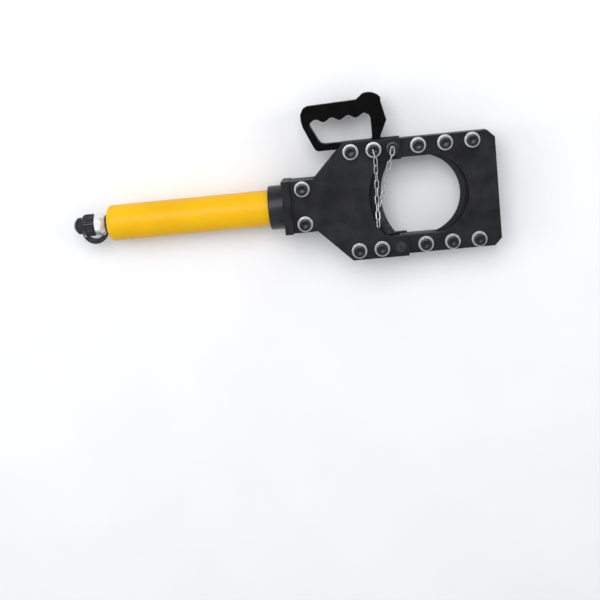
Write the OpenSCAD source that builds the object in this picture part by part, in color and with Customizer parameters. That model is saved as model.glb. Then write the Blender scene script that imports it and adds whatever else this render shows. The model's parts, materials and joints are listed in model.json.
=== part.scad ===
// Hydraulic cable-cutter head: a slim single-acting cylinder drives a guillotine blade
// between two head plates, into a swing-open yoke that carries the fixed blade.
// The tool lies on its back: +X points to the yoke, +Y to the carry handle, +Z out of the front.

/* [Cutting head] */
// Clear height of the cable opening
opening = 120; // [118:1:122]
// Thickness of each rear head plate
head_plate_t = 10; // [9:0.5:11]
// Gap between the rear head plates
head_gap = 34; // [34:0.5:35]
// Thickness of each yoke plate
yoke_plate_t = 9; // [8:0.5:9]
// Thickness of the fixed blade, and of the spacer in front of it
blade_layer_t = 7.7; // [7.5:0.1:7.7]
// Travel of the ram and the moving blade
stroke = 125; // [110:1:125]

/* [Cylinder] */
// Outside diameter of the barrel
barrel_d = 56; // [54:0.5:58]
// Bore of the barrel
bore_d = 42; // [40:0.5:43]
// Diameter of the piston rod
rod_d = 28; // [26:0.5:28]
// Wire of the return spring
spring_wire = 5; // [4:0.1:5]
// Turns of the return spring
spring_turns = 15; // [12:1:15]

/* [Fasteners] */
// Shank of the cap screws
screw_d = 12; // [10:0.5:12]
// Length of the screws through the rear head
head_screw_len = 70; // [70:1:74]
// Length of the screws through the yoke
yoke_screw_len = 50; // [50:1:52]
// Diameter of the hinge pin and of the lock pin
pin_d = 16; // [14:0.5:16]

/* [Handle] */
// Thickness of the carry handle's grip
grip_t = 25; // [20:1:28]
// Highest point of the handle above the cylinder's axis
handle_top = 162.4; // [158:0.2:166]

/* [Coupler and chain] */
// Outside diameter of the dust cap
cap_d = 35; // [32:0.5:36]
// Width across the flats of the coupler's hexagon
hex_af = 30; // [27:0.5:31]
// Wire of the chain
chain_wire = 1.8; // [1.6:0.1:2]

/* [Hidden] */
$fn = 96;

// Distances below are from the cylinder's axis and from the first pair of head screws.
fit = 0.05;                                // radial clearance of a running fit
slack = 0.3;                               // clearance of a loose part
half_gap = head_gap / 2;
head_face = half_gap + head_plate_t;       // outer face of a rear head plate
yoke_face = blade_layer_t + yoke_plate_t;  // outer face of a yoke plate
over = 1;                                  // how far a cutting tool runs past a face

// Outline of the rear head
neck_x = -98;
neck_half_h = 40;
slant_x = -60.5;
shoulder_x = -10.5;
head_half_h = 90.5;
seam_x = 76;
mouth_r = 90;
mouth_x = 111.5;
mouth_half_h = opening / 2 - 1.5;

// Outline of the yoke
yoke_end_x = 219.5;
yoke_half_h = 88.5;
yoke_corner = 11;
yoke_mouth_r = 62.5;
yoke_mouth_x = 112.5;
pocket_end_x = 187;
tongue_r = yoke_half_h - 76;

// Blades
fixed_edge_r = 62;
fixed_edge_x = 100;
moving_edge_r = 95;
moving_edge_x = 135;
moving_back_x = -20;
moving_tip_x = 57;
moving_half_h = 57;
blade_play = 0.1;
blade_bevel = 12;
blade_land = 1.5;

// Screws and pins
row_y = 76;
pin_x = 64;
head_screw_at = [[0, row_y], [35, row_y], [0, -row_y], [35, -row_y], [-79, 27], [-79, -27]];
yoke_screw_at = [for (x = [103, 144, 185], s = [-1, 1]) [x, s * row_y]];
screw_hole_d = screw_d + 0.4;
screw_head_d = 1.5 * screw_d;
screw_head_h = screw_d;
washer_d = 2 * screw_d;
washer_t = 2.5;
nut_h = 0.9 * screw_d;
nut_af = 18;
hole_d = pin_d + 2 * fit;

// Cylinder
barrel_rear_x = -388.7;
barrel_dome = 1.3;
barrel_fillet = 9;
barrel_front_x = -108.5;
bore_rear_x = -374;
port_d = 17.1;
flange_t = 10;
flange_d = 48;
barrel_seat_d = barrel_d - 1;
collar_d = 68.5;
collar_x = -133.5;
block_x = -110.5;
block_half_h = 41;
block_half_t = 33;
tongue_end_x = -62;
piston_x = -373;
piston_len = 24;
rod_start_x = piston_x + piston_len;
coil_room = 9;                             // space left between the spring's coils at full travel
gland_rear_x = rod_start_x + stroke + spring_turns * spring_wire + coil_room;
spigot_d = 20;
carrier_x = -60;
carrier_len = 70;
carrier_half_h = 25;
carrier_half_t = half_gap - 0.5;
carrier_pin_x = -46;
blade_screw_y = 14;
blade_screw_x = -6;

// Coupler: rear end of each step
cap_x = -430;
hex_x = -410;
flare_x = -400;
neck_coupler_x = -393;
knob_x = -444;
knob_d = 26;
cap_neck_d = 18;
coupler_neck_d = 20;
thread_d = 26;
strap_t = 5;
ring_gap = 0.3;

// Chain
link_len = 15.6;
link_w = 7.6;
link_pitch = link_len - 2 * chain_wire - 0.2;

// The origin is under the middle of the whole tool
box_mid_x = (knob_x + yoke_end_x) / 2;
box_mid_y = (handle_top - head_half_h) / 2;
lift = head_screw_len - head_face - washer_t;

module placed() {
  translate([-box_mid_x, -box_mid_y, lift]) children();
}

// A round step along the cylinder's axis, from x0 to x1
module step_x(x0, x1, d0, d1) {
  translate([x0, 0, 0]) rotate([0, 90, 0]) cylinder(d1 = d0, d2 = d1, h = x1 - x0);
}

module rod_x(x0, x1, d) {
  step_x(x0, x1, d, d);
}

module tube_x(x0, x1, outer, inner) {
  difference() {
    rod_x(x0, x1, outer);
    rod_x(x0 - over, x1 + over, inner);
  }
}

// A profile of [along, radius] points turned about the cylinder's axis
module turned_x(points) {
  rotate([0, 90, 0]) rotate_extrude() polygon([for (p = points) [p[1], p[0]]]);
}

// Round holes through the head at a list of places
module holes_z(places, d) {
  for (p = places) translate([p[0], p[1], -60]) cylinder(d = d, h = 120);
}

function arc(cx, cy, r, a0, a1, steps) =
  [for (i = [0:steps]) let (a = a0 + (a1 - a0) * i / steps) [cx + r * cos(a), cy + r * sin(a)]];

/* ---- Cylinder ---- */

module cylinder_barrel() {
  r = barrel_d / 2;
  fillet_x = barrel_rear_x + barrel_fillet;
  color("gold") placed() difference() {
    turned_x(concat(
      [[barrel_rear_x - barrel_dome, 0], [barrel_rear_x - barrel_dome, 12], [barrel_rear_x, r - barrel_fillet]],
      arc(fillet_x, r - barrel_fillet, barrel_fillet, 180, 90, 8),
      [[collar_x, r], [collar_x, barrel_seat_d / 2], [barrel_front_x, barrel_seat_d / 2], [barrel_front_x, 0]]
    ));
    rod_x(bore_rear_x, barrel_front_x + over, bore_d);
    rod_x(barrel_front_x - flange_t, barrel_front_x + over, flange_d);
    rod_x(barrel_rear_x - 2 * barrel_dome, bore_rear_x + over, port_d);
  }
}

module barrel_collar() {
  chamfer = 1.5;
  r = collar_d / 2;
  color("#26292b") placed() difference() {
    turned_x([[collar_x, 0], [collar_x, r - chamfer], [collar_x + chamfer, r], [block_x, r], [block_x, 0]]);
    rod_x(collar_x - over, block_x + over, barrel_seat_d + 2 * fit);
  }
}

module head_block() {
  color("#1c1f21") placed() difference() {
    union() {
      translate([block_x, -block_half_h, -block_half_t])
        cube([neck_x - block_x, 2 * block_half_h, 2 * block_half_t]);
      translate([neck_x, -neck_half_h + 0.5, -half_gap])
        cube([tongue_end_x - neck_x, 2 * neck_half_h - 1, head_gap]);
    }
    rod_x(block_x - over, barrel_front_x, barrel_seat_d + 2 * fit);
    rod_x(block_x - over, tongue_end_x + over, rod_d + 2);
    holes_z([for (p = head_screw_at) if (p[0] < neck_x / 2) p], screw_hole_d);
  }
}

module rod_gland() {
  color("#8f9396") placed() difference() {
    union() {
      rod_x(gland_rear_x, barrel_front_x, bore_d - 2 * fit);
      rod_x(barrel_front_x - flange_t, barrel_front_x, flange_d - 2 * fit);
    }
    rod_x(gland_rear_x - over, barrel_front_x + over, rod_d + 0.6);
    rod_x(gland_rear_x - over, gland_rear_x + 19, rod_d + 4.1);
    rod_x(barrel_front_x - 7.5, barrel_front_x - 1.5, rod_d + 8);
  }
}

module rod_bush() {
  color("#b08d4f") placed() tube_x(gland_rear_x + 1, gland_rear_x + 19, rod_d + 4, rod_d + 2 * fit);
}

module rod_wiper() {
  color("#2b2b2b") placed() tube_x(barrel_front_x - 7.4, barrel_front_x - 1.6, rod_d + 7.8, rod_d + 2 * fit);
}

module piston() {
  color("#a3a7aa") placed() difference() {
    rod_x(piston_x, rod_start_x, bore_d - 2 * fit);
    rod_x(piston_x - over, rod_start_x + over, spigot_d + 2 * fit);
    rod_x(piston_x - over, piston_x + 2.5, spigot_d + 7);
    tube_x(piston_x + 6, piston_x + 12, bore_d + 2, bore_d - 9);
    tube_x(piston_x + 16, piston_x + 20, bore_d + 2, bore_d - 4);
  }
}

module piston_seal() {
  color("#3a3f6b") placed() tube_x(piston_x + 6.2, piston_x + 11.8, bore_d - 0.06, bore_d - 8.8);
}

module piston_wear_ring() {
  color("#e6ddc4") placed() tube_x(piston_x + 16.2, piston_x + 19.8, bore_d - 0.06, bore_d - 3.8);
}

module piston_clip() {
  color("#4a4d50") placed() tube_x(piston_x + 0.6, piston_x + 2.2, spigot_d + 5, spigot_d - 1.8);
}

module piston_rod() {
  front_x = carrier_x + 28;
  color("#d5d8da") placed() difference() {
    union() {
      rod_x(piston_x + 0.2, rod_start_x, spigot_d);
      rod_x(rod_start_x, carrier_x, rod_d);
      rod_x(carrier_x, front_x, spigot_d);
    }
    tube_x(piston_x + 0.5, piston_x + 2.3, spigot_d + 2, spigot_d - 2);
    holes_z([[carrier_pin_x, 0]], 8);
  }
}

// A coil of round wire about the X axis, from x0 to x1
module coil_x(x0, x1, coil_d, wire, turns, per_turn, sides) {
  steps = turns * per_turn;
  first_x = x0 + wire / 2;
  run = x1 - x0 - wire;
  rings = [for (i = [0:steps]) let (a = 360 * i / per_turn)
    [for (j = [0:sides - 1]) let (b = 360 * j / sides, r = coil_d / 2 + wire / 2 * cos(b))
      [first_x + run * i / steps + wire / 2 * sin(b), r * cos(a), r * sin(a)]]];
  points = [for (ring = rings) each ring];
  walls = [for (i = [0:steps - 1], j = [0:sides - 1]) let (k = (j + 1) % sides)
    [i * sides + j, i * sides + k, (i + 1) * sides + k, (i + 1) * sides + j]];
  first_cap = [for (j = [0:sides - 1]) sides - 1 - j];
  last_cap = [for (j = [0:sides - 1]) steps * sides + j];
  polyhedron(points, concat(walls, [first_cap, last_cap]), convexity = 10);
}

module return_spring() {
  spring_d = (bore_d + rod_d) / 2;
  color("#6d7275") placed()
    coil_x(rod_start_x + 0.2, gland_rear_x - 0.2, spring_d, spring_wire, spring_turns, 12, 6);
}

/* ---- Ram ---- */

module blade_carrier() {
  end_x = carrier_x + carrier_len;
  color("#5b6063") placed() difference() {
    translate([carrier_x, -carrier_half_h, -carrier_half_t])
      cube([carrier_len, 2 * carrier_half_h, 2 * carrier_half_t]);
    rod_x(carrier_x - over, carrier_x + 29, spigot_d + 2 * fit);
    translate([moving_back_x - 2, -carrier_half_h - over, 0])
      cube([end_x - moving_back_x + 3, 2 * carrier_half_h + 2 * over, blade_layer_t]);
    holes_z([[carrier_pin_x, 0]], 8.1);
    for (s = [-1, 1]) translate([blade_screw_x, s * blade_screw_y, 0]) {
      translate([0, 0, -12]) cylinder(d = 10.2, h = 40);
      translate([0, 0, carrier_half_t - 6.4]) cylinder(d = 16.6, h = 10);
    }
  }
}

module carrier_pin() {
  color("#a3a7aa") placed()
    translate([carrier_pin_x, 0, 0.5 - carrier_half_t]) cylinder(d = 7.9, h = 2 * carrier_half_t - 1);
}

module blade_screws() {
  seat_z = carrier_half_t - 6.4;
  color("#2a2c2e") placed() for (s = [-1, 1]) translate([blade_screw_x, s * blade_screw_y, 0]) difference() {
    union() {
      translate([0, 0, -11.8]) cylinder(d = 10, h = seat_z + 11.8);
      translate([0, 0, seat_z]) cylinder(d = 16, h = 6);
    }
    translate([0, 0, seat_z + 3]) cylinder(d = 6.9, h = 4, $fn = 6);
  }
}

module moving_blade() {
  top_z = blade_layer_t - blade_play;
  color("#33373a") placed() difference() {
    translate([moving_back_x, -moving_half_h, blade_play])
      cube([moving_tip_x - moving_back_x, 2 * moving_half_h, top_z - blade_play]);
    translate([moving_edge_x, 0, 0]) {
      translate([0, 0, -over]) cylinder(r = moving_edge_r, h = blade_layer_t + 2 * over, $fn = 240);
      translate([0, 0, blade_play + blade_land]) cylinder(
        r1 = moving_edge_r,
        r2 = moving_edge_r + blade_bevel,
        h = top_z - blade_play - blade_land + 0.001,
        $fn = 240
      );
    }
    holes_z([for (s = [-1, 1]) [blade_screw_x, s * blade_screw_y]], 10.2);
    for (s = [-1, 1]) translate([moving_back_x, s * moving_half_h, 0])
      rotate([0, 0, 45]) cube([14, 14, 40], center = true);
  }
}

/* ---- Rear head ---- */

module rear_plate(z0) {
  outline = [
    [neck_x, neck_half_h], [slant_x, neck_half_h], [shoulder_x, head_half_h], [seam_x, head_half_h],
    [seam_x, -head_half_h], [shoulder_x, -head_half_h], [slant_x, -neck_half_h], [neck_x, -neck_half_h]
  ];
  difference() {
    translate([0, 0, z0]) linear_extrude(height = head_plate_t) polygon(outline);
    translate([mouth_x, 0, z0 - over]) intersection() {
      cylinder(r = mouth_r, h = head_plate_t + 2 * over, $fn = 240);
      translate([0, 0, head_plate_t]) cube([2 * mouth_r, 2 * mouth_half_h, 4 * head_plate_t], center = true);
    }
    holes_z(head_screw_at, screw_hole_d);
    holes_z([[pin_x, row_y], [pin_x, -row_y]], hole_d);
    translate([0, 0, sign(z0) * half_gap]) guide_dowel_places() cylinder(d = 5.1, h = 12, center = true);
  }
}

module rear_plate_front() {
  color("#1e2123") placed() difference() {
    rear_plate(half_gap);
    translate([pin_x, -row_y, head_face - 3]) cylinder(d = pin_d + 2.2, h = 4);
  }
}

module rear_plate_back() {
  color("#1e2123") placed() rear_plate(-head_face);
}

// The four places where dowels hold the guide bars
module guide_dowel_places() {
  for (x = [-22, 40], s = [-1, 1]) translate([x, s * (mouth_half_h + 3.2), 0]) children();
}

module guide_dowels() {
  color("#a3a7aa") placed() guide_dowel_places() cylinder(d = 5, h = head_gap + 10, center = true);
}

guide_edge = moving_half_h + 0.5;
guide_end_x = 48;

module upper_guide_bar() {
  color("#3a3e41") placed() difference() {
    translate([-36, guide_edge, -half_gap]) cube([guide_end_x + 36, 8.3, head_gap]);
    guide_dowel_places() cylinder(d = 5.1, h = 60, center = true);
  }
}

module lower_guide_bar() {
  outline = [
    [-40, -guide_edge], [guide_end_x, -guide_edge], [guide_end_x, 0.8 - head_half_h],
    [shoulder_x + 0.5, 0.8 - head_half_h], [-40, -guide_edge - 2.5]
  ];
  color("#3a3e41") placed() difference() {
    translate([0, 0, -half_gap]) linear_extrude(height = head_gap) polygon(outline);
    holes_z([for (p = head_screw_at) if (p[1] < -neck_half_h) p], screw_hole_d);
    guide_dowel_places() cylinder(d = 5.1, h = 60, center = true);
  }
}

// A cap screw whose head stands on z = 0 and whose shank points down
module cap_screw(len) {
  socket = 10 / cos(30);
  difference() {
    union() {
      translate([0, 0, -len]) cylinder(d = screw_d, h = len + 0.01);
      cylinder(d = screw_head_d, h = screw_head_h - 1);
      translate([0, 0, screw_head_h - 1]) cylinder(d1 = screw_head_d, d2 = screw_head_d - 1.6, h = 1);
    }
    translate([0, 0, screw_head_h - 6]) cylinder(d = socket, h = 7, $fn = 6);
  }
}

module washer_pair(face) {
  for (z = [face, -face - washer_t]) translate([0, 0, z]) difference() {
    cylinder(d = washer_d, h = washer_t);
    translate([0, 0, -over]) cylinder(d = screw_d + 1, h = washer_t + 2 * over);
  }
}

module nut(face) {
  chamfer = 0.8;
  translate([0, 0, -face - washer_t - nut_h]) difference() {
    intersection() {
      cylinder(d = nut_af / cos(30), h = nut_h, $fn = 6);
      union() {
        cylinder(d1 = nut_af + 0.6, d2 = nut_af / cos(30) + 1, h = chamfer);
        translate([0, 0, chamfer]) cylinder(d = nut_af / cos(30) + 1, h = nut_h);
      }
    }
    translate([0, 0, -over]) cylinder(d = screw_d + 0.1, h = nut_h + 2 * over);
  }
}

module head_screws() {
  color("#17191a") placed() for (p = head_screw_at)
    translate([p[0], p[1], head_face + washer_t]) cap_screw(head_screw_len);
}

module head_washers() {
  color("#c9cccd") placed() for (p = head_screw_at) translate(p) washer_pair(head_face);
}

module head_nuts() {
  color("#2a2c2e") placed() for (p = head_screw_at) translate(p) nut(head_face);
}

module hinge_pin() {
  color("#2f3335") placed() translate([pin_x, -row_y, 0]) difference() {
    union() {
      translate([0, 0, -head_face - 4]) cylinder(d = pin_d, h = 2 * head_face + 1.1);
      translate([0, 0, head_face - 3]) cylinder(d = pin_d + 2, h = 2.8);
    }
    translate([0, 0, -head_face - 1.9]) difference() {
      cylinder(d = pin_d + 2, h = 1.4);
      translate([0, 0, -over]) cylinder(d = pin_d - 1.2, h = 4);
    }
  }
}

module hinge_pin_clip() {
  color("#55595c") placed() translate([pin_x, -row_y, -head_face - 1.8]) difference() {
    cylinder(d = pin_d + 7, h = 1.2);
    translate([0, 0, -over]) cylinder(d = pin_d - 1, h = 4);
    translate([-2.5, 0, -over]) cube([5, 20, 4]);
  }
}

/* ---- Carry handle ---- */

finger_pitch = 24.9;

function finger_line(x) = 128.4 + 0.043 * x + 2.7 * cos(360 * (x - 25.6) / finger_pitch);

module carry_handle() {
  hump_r = 24;
  outer = concat(
    [[47.3, 66], [47.3, 92], [48.7, 97.3], [58.7, 118.7], [54.7, 136], [52.2, 147]],
    arc(33.5, handle_top - hump_r, hump_r, 38, 112, 10),
    [[15.3, 152.9], [-60.7, 150.4], [-66.5, 147.6], [-71.3, 138.7], [-71.3, 128], [-69.3, 118.7]],
    [[-56, 88], [-53.5, 83.4], [-49.3, 80.7], [-14, 80.7], [-14, 66]]
  );
  grip_edge = [for (x = [27:-3:-51]) [x, finger_line(x)]];
  inner = concat(
    [[-38.5, 91]],
    arc(30.7, 95, 4, -90, 0, 4),
    [[34.7, 124], [32.7, 128.7]],
    grip_edge,
    [[-56, 125.6], [-58.6, 122.5], [-58.3, 119.3], [-47.3, 97.3], [-43.5, 92.6]]
  );
  color("#1a1c1d") placed() difference() {
    union() {
      translate([0, 0, -grip_t / 2]) linear_extrude(height = grip_t) difference() {
        polygon(outer);
        polygon(inner);
      }
      translate([-14, 66, -half_gap]) cube([61.3, head_half_h - 66, head_gap]);
    }
    holes_z([for (p = head_screw_at) if (p[1] > neck_half_h) p], screw_hole_d);
  }
}

/* ---- Yoke ---- */

// The yoke's outline as a slab from z0 up, with the pin holes cut and the mouth left whole
module yoke_slab(z0, t) {
  outline = [
    [pin_x, yoke_half_h], [yoke_end_x - yoke_corner, yoke_half_h], [yoke_end_x, yoke_half_h - yoke_corner],
    [yoke_end_x, yoke_corner - yoke_half_h], [yoke_end_x - yoke_corner, -yoke_half_h], [pin_x, -yoke_half_h]
  ];
  difference() {
    translate([0, 0, z0]) union() {
      linear_extrude(height = t) polygon(outline);
      for (s = [-1, 1]) translate([pin_x, s * row_y, 0]) cylinder(r = tongue_r, h = t);
    }
    holes_z([[pin_x, -row_y]], hole_d);
    holes_z(yoke_screw_at, screw_hole_d);
    lock_slot();
  }
}

// The lock pin's slot is open towards the cylinder and curved about the hinge pin
module lock_slot() {
  swing_r = 2 * row_y;
  half_w = pin_d / 2 + 0.2;
  translate([pin_x, row_y, -30]) cylinder(r = half_w, h = 60);
  translate([pin_x, -row_y, -30]) intersection() {
    difference() {
      cylinder(r = swing_r + half_w, h = 60, $fn = 360);
      translate([0, 0, -over]) cylinder(r = swing_r - half_w, h = 60 + 2 * over, $fn = 360);
    }
    translate([-30, swing_r - 20, 0]) cube([30, 40, 60]);
  }
}

// Square-ended mouth of the yoke from the tongues to an end
module yoke_gap(end_x) {
  translate([pin_x - 30, -opening / 2, -30]) cube([end_x - pin_x + 30, opening, 60]);
}

module yoke_mouth(r, x) {
  yoke_gap(x);
  intersection() {
    translate([x, 0, -30]) cylinder(r = r, h = 60, $fn = 240);
    translate([x, -opening / 2, -30]) cube([2 * r, opening, 60]);
  }
}

module yoke_plate_front() {
  color("#1e2123") placed() difference() {
    yoke_slab(blade_layer_t, yoke_plate_t);
    yoke_mouth(yoke_mouth_r, yoke_mouth_x);
  }
}

module yoke_plate_back() {
  color("#1e2123") placed() difference() {
    yoke_slab(-yoke_face, yoke_plate_t);
    yoke_mouth(yoke_mouth_r, yoke_mouth_x);
  }
}

module yoke_spacer() {
  color("#2b2e30") placed() difference() {
    yoke_slab(0, blade_layer_t);
    yoke_gap(pocket_end_x);
  }
}

module fixed_blade() {
  bevel_t = blade_layer_t - 2;
  color("#3f4447") placed() difference() {
    yoke_slab(-blade_layer_t, blade_layer_t);
    yoke_mouth(fixed_edge_r, fixed_edge_x);
    intersection() {
      translate([fixed_edge_x, 0, -blade_layer_t - 0.001])
        cylinder(r1 = fixed_edge_r + 8, r2 = fixed_edge_r, h = bevel_t, $fn = 240);
      translate([fixed_edge_x, -opening / 2, -30]) cube([2 * fixed_edge_r, opening, 60]);
    }
  }
}

module yoke_screws() {
  color("#17191a") placed() for (p = yoke_screw_at)
    translate([p[0], p[1], yoke_face + washer_t]) cap_screw(yoke_screw_len);
}

module yoke_washers() {
  color("#c9cccd") placed() for (p = yoke_screw_at) translate(p) washer_pair(yoke_face);
}

module yoke_nuts() {
  color("#2a2c2e") placed() for (p = yoke_screw_at) translate(p) nut(yoke_face);
}

/* ---- Lock pin and its chain ---- */

lock_head_z = head_face + 0.2;
lock_head_h = 9;

module lock_pin() {
  nose = 4;
  color("#55595b") placed() translate([pin_x, row_y, 0]) difference() {
    union() {
      translate([0, 0, -head_face]) cylinder(d = pin_d, h = head_face + lock_head_z);
      translate([0, 0, -head_face - nose]) cylinder(d1 = pin_d - 5, d2 = pin_d, h = nose);
      translate([0, 0, lock_head_z]) cylinder(d = 20, h = lock_head_h - 1);
      translate([0, 0, lock_head_z + lock_head_h - 1]) cylinder(d1 = 20, d2 = 18, h = 1);
    }
    translate([0, 0, lock_head_z + 2]) cylinder(d = 11, h = 20);
    translate([0, 0, lock_head_z - 6]) cylinder(d = 3, h = 20);
  }
}

// The post that holds the chain's last link on the lock pin
module lock_pin_post() {
  cap_z = lock_head_z + 13.7;
  color("#a3a7aa") placed() translate([pin_x, row_y, 0]) {
    translate([0, 0, lock_head_z - 6]) cylinder(d = 2.9, h = cap_z + 6 - lock_head_z);
    translate([0, 0, cap_z]) cylinder(d1 = 6, d2 = 4.6, h = 0.6);
  }
}

// One link lies along X, with its opening facing Z
module chain_link() {
  r = (link_w - chain_wire) / 2;
  half_run = (link_len - link_w) / 2;
  for (s = [0, 180]) rotate([0, 0, s]) {
    translate([-half_run, r, 0]) rotate([0, 90, 0]) cylinder(d = chain_wire, h = 2 * half_run, $fn = 24);
    translate([half_run, 0, 0]) rotate([0, 0, -90])
      rotate_extrude(angle = 180, $fn = 48) translate([r, 0]) circle(d = chain_wire, $fn = 24);
  }
}

// Each run of the chain is its first joint, then the heading, rise and roll of each link, in degrees.
// The first run falls from the staple to a loose end, and the second climbs from it to the lock pin.
chain_runs = [
  [[36.7, 64, 33.4], [
    [-91, -7, 35], [-94, -7, -40], [-90, -10, 65], [-94, -6, -25], [-94, -3, 65],
    [-92, 1, -25], [-92, 6, 65], [-92, 11, -20], [-92, 0, 50]
  ]],
  [[36.9, -10.7, 27.4], [
    [68, 0.5, 95], [69, 4.5, -5], [74, 6.5, 80], [75, 8, -5], [76.5, 10, 80],
    [73, 12, -5], [67, 19, 80], [80, 0, 0]
  ]]
];

function heading(t) = [cos(t[1]) * cos(t[0]), cos(t[1]) * sin(t[0]), sin(t[1])];
function chain_joint(run, i) =
  i == 0 ? run[0] : chain_joint(run, i - 1) + link_pitch * heading(run[1][i - 1]);

module chain() {
  color("#cfd2d3") placed() for (run = chain_runs, i = [0:len(run[1]) - 1]) {
    turn = run[1][i];
    middle = chain_joint(run, i) + link_pitch / 2 * heading(turn);
    translate(middle) rotate([0, -turn[1], turn[0]]) rotate([turn[2], 0, 0]) chain_link();
  }
}

// A bent wire from the screw's socket, over its head, to the first link
module chain_staple() {
  wire = 1.8;
  top_z = head_face + washer_t + screw_head_h + wire / 2 + 0.1;
  foot = [34, 78, top_z - 6];
  bend = [34, 78, top_z];
  crest = [36.2, 65.1, top_z];
  turn = [36.3, 62.3, 31.3];
  tip = [36.5, 65, 31];
  color("#cfd2d3") placed() {
    wire_run(foot, bend, wire);
    wire_run(bend, crest, wire);
    wire_run(crest, turn, wire);
    wire_run(turn, tip, wire);
    for (p = [bend, crest, turn]) translate(p) sphere(d = 1.15 * wire, $fn = 24);
  }
}

// A straight piece of wire between two points
module wire_run(a, b, wire) {
  d = b - a;
  flat = norm([d[0], d[1]]);
  translate(a) rotate([0, atan2(flat, d[2]), atan2(d[1], d[0])]) cylinder(d = wire, h = norm(d), $fn = 24);
}

/* ---- Coupler ---- */

module coupler_body() {
  corner_d = hex_af / cos(30);
  spigot_x = barrel_rear_x - barrel_dome - 1.2;
  color("#d2d4d5") placed() difference() {
    union() {
      turned_x([
        [hex_x - 17, 0], [hex_x - 17, thread_d / 2], [flare_x, thread_d / 2], [flare_x, hex_af / 2 + 1.5],
        [neck_coupler_x, 12], [neck_coupler_x, coupler_neck_d / 2], [spigot_x, coupler_neck_d / 2],
        [spigot_x, port_d / 2 - fit], [bore_rear_x - 2, port_d / 2 - fit], [bore_rear_x - 2, 0]
      ]);
      translate([hex_x, 0, 0]) rotate([0, 90, 0]) rotate([0, 0, 30])
        cylinder(d = corner_d, h = flare_x - hex_x + 0.4, $fn = 6);
    }
    rod_x(hex_x - 20, bore_rear_x, 7);
    rod_x(hex_x - 12, flare_x, 10);
    step_x(hex_x - 14, hex_x - 12, 7, 10);
  }
}

module coupler_ball() {
  color("#b9bcbe") placed() translate([hex_x - 7, 0, 0]) sphere(d = 9.6);
}

module coupler_ball_spring() {
  color("#8f9396") placed() coil_x(hex_x - 2.1, flare_x - 0.2, 7.6, 1.2, 5, 16, 6);
}

module port_washer() {
  start_x = barrel_rear_x - barrel_dome - 1.1;
  color("#8f5f3a") placed() tube_x(start_x, start_x + 1, 19.6, port_d);
}

module dust_cap() {
  knob_neck_x = knob_x + 8;
  ridges = 30;
  ridge_d = 1.6;
  color("#232527") placed() difference() {
    union() {
      step_x(cap_x, cap_x + 3.5, 27, cap_d - 1.2);
      rod_x(cap_x + 3.5, hex_x - 0.3, cap_d - 1.2);
      for (i = [0:ridges - 1]) rotate([360 * i / ridges, 0, 0]) translate([cap_x + 4, 0, cap_d / 2 - ridge_d / 2])
        rotate([0, 90, 0]) cylinder(d = ridge_d, h = 14.5, $fn = 16);
      rod_x(knob_neck_x - over, cap_x + over, cap_neck_d);
      intersection() {
        translate([knob_x + 15, 0, 0]) sphere(r = 15);
        rod_x(knob_x - over, knob_neck_x, knob_d);
      }
    }
    rod_x(hex_x - 17.6, hex_x, thread_d + 2 * slack);
  }
}

module cap_strap() {
  mid_x = -411.5;
  mid_y = -8;
  outline = [
    for (a = [180:12:360]) [mid_x + 21.2 * cos(a), mid_y + 22.4 * sin(a)],
    for (a = [360:-12:180]) [mid_x + 13.6 * cos(a), mid_y + 14 * sin(a)]
  ];
  color("#1f2020") placed() difference() {
    union() {
      translate([0, 0, -strap_t / 2]) linear_extrude(height = strap_t) polygon(outline);
      rod_x(knob_x + 8.3, cap_x - 0.3, knob_d);
      rod_x(neck_coupler_x + 0.2, neck_coupler_x + 2.8, 27);
    }
    rod_x(knob_x, cap_x + 5, cap_neck_d + 2 * ring_gap);
    rod_x(neck_coupler_x - 8, neck_coupler_x + 20, coupler_neck_d + 2 * ring_gap);
    rod_x(cap_x - ring_gap, hex_x + 14, cap_d + 2 * ring_gap);
    step_x(hex_x + 14 - ring_gap, neck_coupler_x + 0.15, cap_d + 2 * ring_gap, 24 + 2 * ring_gap);
  }
}

cylinder_barrel();
barrel_collar();
head_block();
rod_gland();
rod_bush();
rod_wiper();
rear_plate_front();
rear_plate_back();
upper_guide_bar();
lower_guide_bar();
guide_dowels();
carry_handle();
head_screws();
head_washers();
head_nuts();
hinge_pin();
hinge_pin_clip();
coupler_body();
coupler_ball();
coupler_ball_spring();
port_washer();
cap_strap();
chain();
chain_staple();
piston();
piston_seal();
piston_wear_ring();
piston_clip();
piston_rod();
return_spring();
blade_carrier();
carrier_pin();
blade_screws();
moving_blade();
yoke_plate_front();
yoke_plate_back();
yoke_spacer();
fixed_blade();
yoke_screws();
yoke_washers();
yoke_nuts();
lock_pin();
lock_pin_post();
dust_cap();
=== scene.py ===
"""A hydraulic cable-cutter head with a swing-open yoke, on its back on a pale studio floor."""
import json
import math

import bmesh
import bpy
from mathutils import Matrix, Vector

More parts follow.
